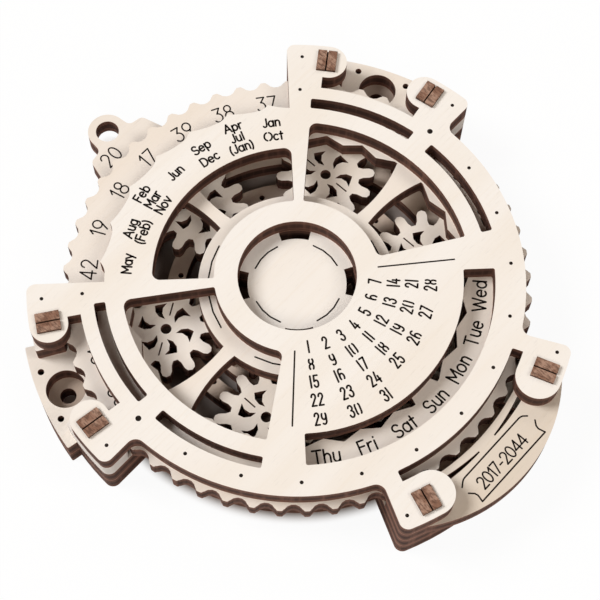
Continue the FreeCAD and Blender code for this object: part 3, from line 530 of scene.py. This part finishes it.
# A stroke is a row of points (x, y) and arcs (cx, cy, rx, ry, from, to), in cap heights.
GLYPHS = {
    "0": (0.54, [[(0.27, 0.5, 0.27, 0.5, 90, 450)]]),
    "1": (0.24, [[(0.0, 0.74), (0.2, 1.0)], [(0.2, 1.0), (0.2, 0.0)]]),
    "2": (0.54, [[(0.26, 0.73, 0.25, 0.27, 170, -38), (0.0, 0.0)], [(0.0, 0.0), (0.54, 0.0)]]),
    "3": (0.54, [[(0.02, 1.0), (0.5, 1.0)], [(0.5, 1.0), (0.25, 0.62)],
                 [(0.25, 0.31, 0.28, 0.31, 90, -150)]]),
    "4": (0.58, [[(0.44, 0.0), (0.44, 1.0)], [(0.44, 1.0), (0.0, 0.26)],
                 [(0.0, 0.26), (0.58, 0.26)]]),
    "5": (0.54, [[(0.5, 1.0), (0.1, 1.0)], [(0.1, 1.0), (0.04, 0.54)],
                 [(0.04, 0.54), (0.26, 0.32, 0.28, 0.32, 115, -150)]]),
    "6": (0.56, [[(0.28, 0.3, 0.27, 0.3, 90, 450)], [(0.03, 0.4), (0.4, 1.0)]]),
    "7": (0.5, [[(0.0, 1.0), (0.5, 1.0)], [(0.5, 1.0), (0.14, 0.0)]]),
    "8": (0.54, [[(0.27, 0.76, 0.22, 0.24, -90, 270)], [(0.27, 0.26, 0.27, 0.26, 90, 450)]]),
    "9": (0.56, [[(0.28, 0.7, 0.27, 0.3, 90, 450)], [(0.53, 0.6), (0.16, 0.0)]]),
    "-": (0.38, [[(0.04, 0.42), (0.34, 0.42)]]),
    "(": (0.2, [[(0.34, 0.4, 0.3, 0.66, 122, 238)]]),
    ")": (0.2, [[(-0.14, 0.4, 0.3, 0.66, 58, -58)]]),
    "A": (0.72, [[(0.0, 0.0), (0.36, 1.0)], [(0.36, 1.0), (0.72, 0.0)],
                 [(0.13, 0.34), (0.59, 0.34)]]),
    "D": (0.68, [[(0.03, 0.0), (0.03, 1.0)],
                 [(0.2, 1.0), (0.26, 0.5, 0.41, 0.5, 90, -90), (0.2, 0.0)]]),
    "F": (0.5, [[(0.03, 0.0), (0.03, 1.0)], [(0.03, 1.0), (0.5, 1.0)],
                [(0.03, 0.55), (0.44, 0.55)]]),
    "J": (0.42, [[(0.39, 1.0), (0.2, 0.24, 0.19, 0.24, 0, -150)]]),
    "M": (0.78, [[(0.03, 0.0), (0.03, 1.0)], [(0.03, 1.0), (0.39, 0.34)],
                 [(0.39, 0.34), (0.75, 1.0)], [(0.75, 1.0), (0.75, 0.0)]]),
    "N": (0.66, [[(0.03, 0.0), (0.03, 1.0)], [(0.03, 1.0), (0.63, 0.0)],
                 [(0.63, 0.0), (0.63, 1.0)]]),
    "O": (0.86, [[(0.43, 0.5, 0.42, 0.5, 108, 252)], [(0.43, 0.5, 0.42, 0.5, 72, -72)]]),
    "S": (0.58, [[(0.29, 0.745, 0.25, 0.255, 25, 270),
                  (0.29, 0.245, 0.28, 0.245, 90, -155)]]),
    "T": (0.62, [[(0.0, 1.0), (0.62, 1.0)], [(0.31, 1.0), (0.31, 0.0)]]),
    "W": (1.0, [[(0.0, 1.0), (0.24, 0.0)], [(0.24, 0.0), (0.5, 0.92)],
                [(0.5, 0.92), (0.76, 0.0)], [(0.76, 0.0), (1.0, 1.0)]]),
    "a": (0.56, [[(0.27, 0.34, 0.26, 0.34, 90, 450)], [(0.53, 0.68), (0.53, 0.0)]]),
    "b": (0.56, [[(0.03, 1.0), (0.03, 0.0)], [(0.29, 0.34, 0.26, 0.34, 90, 450)]]),
    "c": (0.48, [[(0.27, 0.34, 0.26, 0.34, 50, 310)]]),
    "e": (0.54, [[(0.01, 0.36), (0.53, 0.36), (0.27, 0.34, 0.26, 0.34, 0, 312)]]),
    "d": (0.56, [[(0.27, 0.34, 0.26, 0.34, 90, 450)], [(0.53, 1.0), (0.53, 0.0)]]),
    "g": (0.56, [[(0.27, 0.34, 0.26, 0.34, 90, 450)],
                 [(0.53, 0.68), (0.28, -0.06, 0.25, 0.24, 0, -150)]]),
    "h": (0.5, [[(0.03, 1.0), (0.03, 0.0)],
                [(0.03, 0.36), (0.25, 0.4, 0.22, 0.28, 180, 0), (0.47, 0.0)]]),
    "i": (0.14, [[(0.07, 0.68), (0.07, 0.0)], [(0.07, 0.93), (0.07, 0.96)]]),
    "l": (0.14, [[(0.07, 1.0), (0.07, 0.0)]]),
    "n": (0.5, [[(0.03, 0.68), (0.03, 0.0)],
                [(0.03, 0.36), (0.25, 0.4, 0.22, 0.28, 180, 0), (0.47, 0.0)]]),
    "o": (0.56, [[(0.28, 0.34, 0.27, 0.34, 90, 450)]]),
    "p": (0.56, [[(0.03, 0.68), (0.03, -0.3)], [(0.29, 0.34, 0.26, 0.34, 90, 450)]]),
    "r": (0.34, [[(0.03, 0.68), (0.03, 0.0)], [(0.03, 0.36), (0.27, 0.4, 0.24, 0.28, 180, 75)]]),
    "t": (0.34, [[(0.16, 0.95), (0.16, 0.0)], [(0.0, 0.68), (0.33, 0.68)]]),
    "u": (0.5, [[(0.03, 0.68), (0.25, 0.27, 0.22, 0.27, 180, 360), (0.47, 0.68)],
                [(0.47, 0.3), (0.47, 0.0)]]),
    "v": (0.5, [[(0.0, 0.68), (0.25, 0.0)], [(0.25, 0.0), (0.5, 0.68)]]),
    "y": (0.5, [[(0.0, 0.68), (0.27, 0.02)], [(0.5, 0.68), (0.13, -0.3)]]),
}
LETTER_GAP = 0.17
ARC_STEP = 20

# Digits of the dates, with upright sides and open bowls as on a stencil, in place of the glyphs
# of the same name.
NARROW = {
    "0": (0.62, [[(0.31, 0.76, 0.29, 0.24, 138, 180), (0.31, 0.24, 0.29, 0.24, 180, 222)],
                 [(0.31, 0.76, 0.29, 0.24, 42, 0), (0.31, 0.24, 0.29, 0.24, 0, -42)]]),
    "1": (0.1, [[(0.05, 1.0), (0.05, 0.0)]]),
    "2": (0.54, [[(0.27, 0.76, 0.25, 0.24, 180, -20), (0.0, 0.0)], [(0.0, 0.0), (0.54, 0.0)]]),
    "3": (0.54, [[(0.26, 0.78, 0.25, 0.22, 165, -80)], [(0.26, 0.28, 0.28, 0.28, 85, -165)]]),
    "5": (0.54, [[(0.5, 1.0), (0.06, 1.0)], [(0.06, 1.0), (0.04, 0.5)],
                 [(0.04, 0.5), (0.27, 0.36, 0.26, 0.22, 90, 0),
                  (0.27, 0.24, 0.26, 0.24, 0, -165)]]),
    "4": (0.56, [[(0.28, 1.0), (0.0, 0.26), (0.56, 0.26)], [(0.42, 0.58), (0.42, 0.0)]]),
    "6": (0.56, [[(0.28, 0.3, 0.27, 0.3, -38, 180)],
                 [(0.28, 0.3, 0.27, 0.3, 218, 180), (0.28, 0.76, 0.27, 0.24, 180, 50)]]),
    "8": (0.56, [[(0.28, 0.76, 0.26, 0.24, 138, 402)], [(0.28, 0.26, 0.27, 0.26, -42, 222)]]),
    "9": (0.56, [[(0.28, 0.7, 0.27, 0.3, 142, 360)],
                 [(0.28, 0.7, 0.27, 0.3, 38, 0), (0.28, 0.24, 0.27, 0.24, 0, -130)]]),
}


# Points of a line's round end, from its tip inwards: where they stand, as turns round the end,
# and their share of the half width, with a narrow face left at the tip.
CAP_TURNS = np.radians((0.0, 30.0, 60.0, 80.0))
CAP_WIDTHS = np.sin(np.radians((8.0, 30.0, 60.0, 80.0)))
# Corners sharper than this cosine of half their bend aren't drawn out further.
LEAST_COSINE = 0.6


def path_of(pieces):
    """A row of points from points and elliptic arcs; an arc is centre + (rx cos t, ry sin t)."""
    rows = []
    for piece in pieces:
        if len(piece) == 2:
            rows.append(np.array([piece], float))
        else:
            cx, cy, rx, ry, start, end = piece
            count = 2 + int(abs(end - start) / ARC_STEP)
            turn = np.radians(np.linspace(start, end, count))
            rows.append(np.stack([cx + rx * np.cos(turn), cy + ry * np.sin(turn)], 1))
    return np.concatenate(rows)


def written(text, height, squeeze=1.0, gap=LETTER_GAP, glyphs=GLYPHS):
    """Paths of a line of text, its middle at the origin: x along the line, y up the letters."""
    paths = []
    pen = 0.0
    for letter in text:
        width, strokes = glyphs[letter]
        for stroke in strokes:
            points = path_of(stroke)
            paths.append(np.stack([(points[:, 0] + pen) * squeeze, points[:, 1]], 1))
        pen += width + gap
    middle = np.array([(pen - gap) * squeeze / 2, 0.5])
    return [(points - middle) * height for points in paths]


def seated(paths, radius, angle, inward=False, along=0.0):
    """The paths turned so that their tops point away from the axis, or towards it, and moved to
    a radius and an angle in degrees: place = radius u + x right + y up, with up = u or -u."""
    turn = math.radians(angle)
    out = np.array([math.cos(turn), math.sin(turn)])
    up = -out if inward else out
    right = np.array([up[1], -up[0]])
    return [radius * out + (p[:, :1] + along) * right + p[:, 1:] * up for p in paths]


def arc_path(radius, start, end):
    """Points on a circle about the axis, from start to end in degrees."""
    return path_of([(0.0, 0.0, radius, radius, start, end)])


def distinct(points):
    """The path without the points that repeat the one before."""
    runs = np.linalg.norm(np.diff(points, axis=0), axis=1)
    return points[np.concatenate([[True], runs > 1e-9])]


def ribbon(points, width, low, high):
    """A closed bar of rectangular section carried along a path. The section's half width is
    width/2 times sqrt(1 - s^2), where s is how far a point is into a round end, 0 to 1, so the
    ends are half circles; corners are mitred, offset = normal / cos(half the bend)."""
    half = width / 2
    points = distinct(points)
    closed = np.allclose(points[0], points[-1])
    if closed:
        widths = np.full(len(points), half)
    else:
        first = points[1] - points[0]
        last = points[-1] - points[-2]
        cap = np.cos(CAP_TURNS) * half
        head = points[0] - np.outer(cap, first / np.linalg.norm(first))
        tail = points[-1] + np.outer(cap[::-1], last / np.linalg.norm(last))
        widths = np.concatenate([CAP_WIDTHS, np.ones(len(points)), CAP_WIDTHS[::-1]]) * half
        points = np.concatenate([head, points, tail])
    step = np.diff(points, axis=0)
    step /= np.linalg.norm(step, axis=1)[:, None]
    if closed:
        before = np.concatenate([step[-1:], step])
        after = np.concatenate([step, step[:1]])
    else:
        before = np.concatenate([step[:1], step])
        after = np.concatenate([step, step[-1:]])
    ahead = before + after
    ahead /= np.linalg.norm(ahead, axis=1)[:, None]
    mitre = 1 / np.clip((ahead * after).sum(1), LEAST_COSINE, 1.0)
    aside = np.stack([-ahead[:, 1], ahead[:, 0]], 1) * (widths * mitre)[:, None]
    if closed:
        points, aside = points[:-1], aside[:-1]
    rows = len(points)
    left, right = points + aside, points - aside
    section = [np.column_stack([side, np.full(rows, level)])
               for side, level in ((left, high), (left, low), (right, low), (right, high))]
    places = np.stack(section, 1).reshape(-1, 3)
    row = np.arange(rows if closed else rows - 1)
    after_row = (row + 1) % rows
    quads = [np.stack([row * 4 + a, row * 4 + b, after_row * 4 + b, after_row * 4 + a], 1)
             for a, b in ((0, 1), (1, 2), (2, 3), (3, 0))]
    faces = np.concatenate(quads)
    if not closed:
        end = (rows - 1) * 4
        faces = np.concatenate([faces, [[3, 2, 1, 0]], [[end, end + 1, end + 2, end + 3]]])
    return places, faces


def round_dot(centre, diameter, low, high, sides=16):
    """A short cylinder: rings of radius d/2 at two levels, closed by a face at each."""
    turn = np.linspace(0, 2 * math.pi, sides, endpoint=False)
    ring = np.stack([centre[0] + diameter / 2 * np.cos(turn),
                     centre[1] + diameter / 2 * np.sin(turn)], 1)
    places = np.concatenate([np.column_stack([ring, np.full(sides, low)]),
                             np.column_stack([ring, np.full(sides, high)])])
    side = np.arange(sides)
    following = (side + 1) % sides
    walls = np.stack([side, following, following + sides, side + sides], 1)
    return places, [*walls.tolist(), side[::-1].tolist(), (side + sides).tolist()]


def joined(name, parts, body, material):
    """One object from many closed parts, given as places and faces, riding on a body."""
    places = np.concatenate([part[0] for part in parts])
    starts = np.cumsum([0] + [len(part[0]) for part in parts[:-1]])
    faces = []
    for start, part in zip(starts, parts):
        faces += [[int(corner) + int(start) for corner in face] for face in part[1]]
    mesh = bpy.data.meshes.new(name)
    mesh.from_pydata(places, [], faces)
    mesh.update()
    mesh.materials.append(material)
    piece = bpy.data.objects.new(name, mesh)
    bpy.context.scene.collection.objects.link(piece)
    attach(piece, body)


def mark_piece(name, parts, body):
    """One object of charred lines or dots."""
    material = material_named("burnt_line", char, bpy.context.scene.calendar_wood)
    joined(name, parts, body, material)


def levels(node, marks):
    """Lower and upper level of a mark burnt into the top of a node."""
    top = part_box(node)[1].z
    return top - marks.sunk, top + marks.proud


def burnt(name, paths, width, node, body):
    """A group of burnt lines on the top of a node."""
    low, high = levels(node, bpy.context.scene.calendar_marks)
    mark_piece(name, [ribbon(path, width, low, high) for path in paths], body)


# ---------------------------------------------------------------- operators

class CALENDAR_OT_wood(bpy.types.Operator):
    """Gives each sheet, peg and axle its wood."""
    bl_idname = "calendar.wood"
    bl_label = "Wood Finishes"

    def execute(self, context):
        for name, (*_, nodes) in PLYWOODS.items():
            dress(nodes, birch(name))
        brown = tuple(context.scene.calendar_wood.peg_colour)
        dress(PEGS, material_named("peg_end_grain", peg_end, brown))
        # Painted shade: the axle ends are painted near-black, like the shade down the planets'
        # bores.
        dress(AXLES, material_named("axle_end_grain", peg_end, scaled(brown, AXLE_SHADE)))
        return {"FINISHED"}


class CALENDAR_OT_wheel_tips(bpy.types.Operator):
    """Rounds the tips between the scallops of the wheel, two to each year."""
    bl_idname = "calendar.wheel_tips"
    bl_label = "Wheel Tips"

    def execute(self, context):
        wood = context.scene.calendar_wood
        low, high = (corner.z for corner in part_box("calendar_wheel"))
        half = wood.tip_width / 2 - wood.tip_depth / 2
        across = [np.array([[-half, 0.0], [half, 0.0]])]
        radius = wood.tip_radius - wood.tip_depth / 2
        parts = []
        for tip in range(2 * SLOTS):
            path, = seated(across, radius, TOP + SLOT_TURN / 2 * tip)
            parts.append(ribbon(path, wood.tip_depth, low + SEAM, high - SEAM))
        joined("wheel_tips", parts, "wheel", birch("wheel_birch"))
        return {"FINISHED"}


class CALENDAR_OT_years(bpy.types.Operator):
    """Burns the 28 years round the rim of the wheel, tops outwards."""
    bl_idname = "calendar.years"
    bl_label = "Year Marks"

    def execute(self, context):
        marks = context.scene.calendar_marks
        paths = []
        for slot, year in enumerate(YEARS):
            text = written(str(year), marks.year_height, YEAR_SQUEEZE, YEAR_GAP)
            paths += seated(text, marks.year_radius, TOP + SLOT_TURN * slot)
        burnt("year_marks", paths, marks.fine_stroke, "calendar_wheel", "wheel")
        return {"FINISHED"}


class CALENDAR_OT_weekdays(bpy.types.Operator):
    """Burns the weekdays four times round the wheel, tops towards the middle."""
    bl_idname = "calendar.weekdays"
    bl_label = "Weekday Marks"

    def execute(self, context):
        marks = context.scene.calendar_marks
        start = BOTTOM - MIDDLE_DAY * SLOT_TURN
        paths = []
        for slot in range(SLOTS):
            text = written(WEEKDAYS[slot % DAYS], marks.weekday_height)
            paths += seated(text, marks.weekday_radius, start + SLOT_TURN * slot, inward=True)
        burnt("weekday_marks", paths, marks.bold_stroke, "calendar_wheel", "wheel")
        return {"FINISHED"}


class CALENDAR_OT_wheel_arcs(bpy.types.Operator):
    """Burns two arcs into the wheel's hub between each pair of spokes."""
    bl_idname = "calendar.wheel_arcs"
    bl_label = "Wheel Arcs"

    def execute(self, context):
        marks = context.scene.calendar_marks
        paths = []
        near, far = WHEEL_ARC_TURNS
        for middle in (45, 135, 225, 315):
            paths.append(arc_path(WHEEL_ARC_RADIUS, middle + near, middle + far))
            paths.append(arc_path(WHEEL_ARC_RADIUS, middle - far, middle - near))
        burnt("wheel_arcs", paths, marks.fine_stroke, "calendar_wheel", "wheel")
        return {"FINISHED"}


class CALENDAR_OT_months(bpy.types.Operator):
    """Burns the seven groups of months into the cover, tops outwards."""
    bl_idname = "calendar.months"
    bl_label = "Month Marks"

    def execute(self, context):
        marks = context.scene.calendar_marks
        paths = []
        for slot, group in enumerate(MONTHS):
            for month, radius in group:
                text = written(month, marks.month_height)
                paths += seated(text, radius * MM, TOP + SLOT_TURN * (slot - MIDDLE_DAY))
        burnt("month_marks", paths, marks.bold_stroke, "top_cover", "frame")
        return {"FINISHED"}


class CALENDAR_OT_dates(bpy.types.Operator):
    """Burns the dates 1 to 31 in seven columns, tops towards the middle."""
    bl_idname = "calendar.dates"
    bl_label = "Date Marks"

    def execute(self, context):
        marks = context.scene.calendar_marks
        digits = {**GLYPHS, **NARROW}
        paths = []
        for date in range(31):
            row, column = divmod(date, DAYS)
            text = written(str(date + 1), marks.date_height, DATE_SQUEEZE, DATE_GAP, digits)
            paths += seated(text, DATE_ROWS[row] * MM, BOTTOM + SLOT_TURN * (column - MIDDLE_DAY),
                            inward=True, along=marks.date_shift)
        burnt("date_marks", paths, marks.bold_stroke, "top_cover", "frame")
        return {"FINISHED"}


class CALENDAR_OT_date_lines(bpy.types.Operator):
    """Burns the two straight lines at the sides of the dates."""
    bl_idname = "calendar.date_lines"
    bl_label = "Date Lines"

    def execute(self, context):
        marks = context.scene.calendar_marks
        line = [np.array([[0.0, -DATE_LINE_HALF], [0.0, DATE_LINE_HALF]])]
        paths = []
        for side in (-1, 1):
            paths += seated(line, DATE_LINE_RADIUS, BOTTOM + side * DATE_LINE_TURN)
        burnt("date_lines", paths, marks.fine_stroke, "top_cover", "frame")
        return {"FINISHED"}


class CALENDAR_OT_dots(bpy.types.Operator):
    """Burns the dots round the cover and on its pads."""
    bl_idname = "calendar.dots"
    bl_label = "Cover Dots"

    def execute(self, context):
        low, high = levels("top_cover", context.scene.calendar_marks)
        spots = [(DOT_ROW_RADIUS, BOTTOM + DOT_ROW_TURN * step, DOT) for step in range(-5, 6)]
        for side in (-1, 1):
            spots += [(radius, middle + side * away, diameter)
                      for radius, middle, away, diameter in DOT_PAIRS]
        parts = []
        for radius, angle, diameter in spots:
            parts.append(round_dot(polar(radius, angle), diameter * MM, low, high))
        mark_piece("cover_dots", parts, "frame")
        return {"FINISHED"}


class CALENDAR_OT_hub_arcs(bpy.types.Operator):
    """Burns four arcs into the disc in the middle."""
    bl_idname = "calendar.hub_arcs"
    bl_label = "Hub Arcs"

    def execute(self, context):
        marks = context.scene.calendar_marks
        paths = [arc_path(HUB_ARC_RADIUS, middle - HUB_ARC_HALF, middle + HUB_ARC_HALF)
                 for middle in (0, 90, 180, 270)]
        burnt("hub_arcs", paths, marks.fine_stroke, "hub_disc", "frame")
        return {"FINISHED"}


class CALENDAR_OT_label(bpy.types.Operator):
    """Burns the range of years and its frame into the label plate."""
    bl_idname = "calendar.label"
    bl_label = "Label Marks"

    def execute(self, context):
        marks = context.scene.calendar_marks
        text = seated(written(LABEL_TEXT, marks.label_height, YEAR_SQUEEZE, LABEL_GAP),
                      LABEL_RADIUS, BOTTOM, inward=True, along=LABEL_SHIFT)
        border = [path_of(side) * MM for side in LABEL_FRAME]
        burnt("label_marks", [*text, *border], marks.fine_stroke, "label_plate", "frame")
        return {"FINISHED"}


class CALENDAR_OT_lug(bpy.types.Operator):
    """Burns the century into the foot of the hanging lug."""
    bl_idname = "calendar.lug"
    bl_label = "Century Mark"

    def execute(self, context):
        marks = context.scene.calendar_marks
        text = seated(written(CENTURY_TEXT, marks.year_height, YEAR_SQUEEZE, YEAR_GAP),
                      CENTURY_RADIUS, CENTURY_TURN)
        burnt("century_mark", text, marks.fine_stroke, "lug_plate", "frame")
        return {"FINISHED"}


class CALENDAR_OT_stage(bpy.types.Operator):
    """Lays the floor and sets the lights and the camera."""
    bl_idname = "calendar.stage"
    bl_label = "Stage"

    def execute(self, context):
        stage = context.scene.calendar_stage
        self.lay_floor(stage)
        self.light(context.scene, stage)
        self.look(context.scene, stage)
        return {"FINISHED"}

    def lay_floor(self, stage):
        """A square in the floor plane: places (u, v, 0) for u and v from -half to half."""
        half = stage.floor_size / 2
        row = FLOOR_CELLS + 1
        steps = np.linspace(-half, half, row)
        u, v = np.meshgrid(steps, steps)
        places = np.stack([u, v, np.zeros_like(u)], -1).reshape(-1, 3)
        cell = (np.arange(FLOOR_CELLS)[:, None] * row + np.arange(FLOOR_CELLS)).ravel()
        faces = np.stack([cell, cell + 1, cell + row + 1, cell + row], 1)
        mesh = bpy.data.meshes.new("floor")
        mesh.from_pydata(places, [], faces.tolist())
        mesh.materials.append(self.floor_finish(stage))
        floor = bpy.data.objects.new("floor", mesh)
        bpy.context.scene.collection.objects.link(floor)

    def floor_finish(self, stage):
        """A pale floor that shines for the camera, but not under the calendar and its holes;
        under the calendar a painted shade darkens it.
        """
        finish = Finish("pale_floor")
        cloud = finish.noise((3.0, 3.0, 3.0), detail=2.0)
        pale = finish.mix(cloud, *PALE_FLOOR)
        # Painted shade: under the calendar the floor's colour is painted dark brown, and it has
        # no glow there.
        shade_and_no_glow = finish.near((0.0, 0.0), *PAINTED_SHADE_REACH)
        finish.feed(Base_Color=finish.mix(shade_and_no_glow * PAINTED_SHADE_SHARE, pale, PAINTED_SHADE_FLOOR),
                    Roughness=0.9, Specular_IOR_Level=0.0)
        for radius, angle, dark, pale_from, share in FLOOR_HOLES:
            hole = finish.near(polar(radius, angle), dark * MM, pale_from * MM) * share
            shade_and_no_glow = shade_and_no_glow.maths("MAXIMUM", shade_and_no_glow, hole)
        finish.shine_for_camera(stage.floor_glow * (1 - shade_and_no_glow))
        return finish.material

    def light(self, scene, stage):
        """Faint light from all round, a broad key lamp, and three fills at right angles to it."""
        world = bpy.data.worlds.new("soft_sky")
        world.use_nodes = True
        sky = world.node_tree.nodes["Background"]
        sky.inputs["Color"].default_value = (*SKY_COLOUR, 1.0)
        sky.inputs["Strength"].default_value = stage.sky_strength
        scene.world = world
        across, up = math.cos(stage.lamp_height), math.sin(stage.lamp_height)
        for name, turn, strength, colour in LAMPS:
            azimuth = stage.key_azimuth + math.radians(turn)
            towards = Vector((across * math.cos(azimuth), across * math.sin(azimuth), up))
            sun = bpy.data.lights.new(name, "SUN")
            sun.energy = strength
            sun.color = colour
            sun.angle = stage.lamp_width
            lamp = bpy.data.objects.new(name, sun)
            lamp.rotation_euler = towards.to_track_quat("Z", "Y").to_euler()
            lamp.location = towards
            scene.collection.objects.link(lamp)

    def look(self, scene, stage):
        """The camera looks from its place to its aim, turned by its roll."""
        data = bpy.data.cameras.new("camera")
        data.sensor_width = SENSOR_WIDTH
        data.lens = stage.lens
        data.clip_start = 0.01
        camera = bpy.data.objects.new("camera", data)
        place = Vector(stage.camera_place)
        sight = (Vector(stage.camera_aim) - place).to_track_quat("-Z", "Y").to_matrix()
        turned = sight @ Matrix.Rotation(stage.camera_roll, 3, "Z")
        camera.matrix_world = Matrix.Translation(place) @ turned.to_4x4()
        scene.collection.objects.link(camera)
        scene.camera = camera
        scene.view_settings.view_transform = "Standard"


# ---------------------------------------------------------------- panel and start

PIECES = (CALENDAR_OT_wood, CALENDAR_OT_wheel_tips, CALENDAR_OT_years, CALENDAR_OT_weekdays,
          CALENDAR_OT_wheel_arcs, CALENDAR_OT_months, CALENDAR_OT_dates, CALENDAR_OT_date_lines,
          CALENDAR_OT_dots, CALENDAR_OT_hub_arcs, CALENDAR_OT_label, CALENDAR_OT_lug,
          CALENDAR_OT_stage)


class CALENDAR_PT_pieces(bpy.types.Panel):
    """Sidebar list of the calendar's pieces and their settings."""
    bl_idname = "CALENDAR_PT_pieces"
    bl_label = "Desk Calendar"
    bl_space_type = "VIEW_3D"
    bl_region_type = "UI"
    bl_category = "Calendar"

    def draw(self, context):
        column = self.layout.column(align=True)
        for piece in PIECES:
            column.operator(piece.bl_idname)
        for settings in (context.scene.calendar_marks, context.scene.calendar_wood,
                         context.scene.calendar_stage):
            box = self.layout.box()
            for name in settings.__annotations__:
                box.prop(settings, name)


SETTINGS = (("calendar_marks", CalendarMarkSettings), ("calendar_wood", CalendarWoodSettings),
            ("calendar_stage", CalendarStageSettings))


def register():
    for name, group in SETTINGS:
        bpy.utils.register_class(group)
        setattr(bpy.types.Scene, name, bpy.props.PointerProperty(type=group))
    for piece in PIECES:
        bpy.utils.register_class(piece)
    bpy.utils.register_class(CALENDAR_PT_pieces)


def unregister():
    bpy.utils.unregister_class(CALENDAR_PT_pieces)
    for piece in reversed(PIECES):
        bpy.utils.unregister_class(piece)
    for name, group in reversed(SETTINGS):
        delattr(bpy.types.Scene, name)
        bpy.utils.unregister_class(group)


def main():
    register()
    for piece in PIECES:
        group, name = piece.bl_idname.split(".")
        getattr(getattr(bpy.ops, group), name)()


if __name__ == "__main__":
    main()
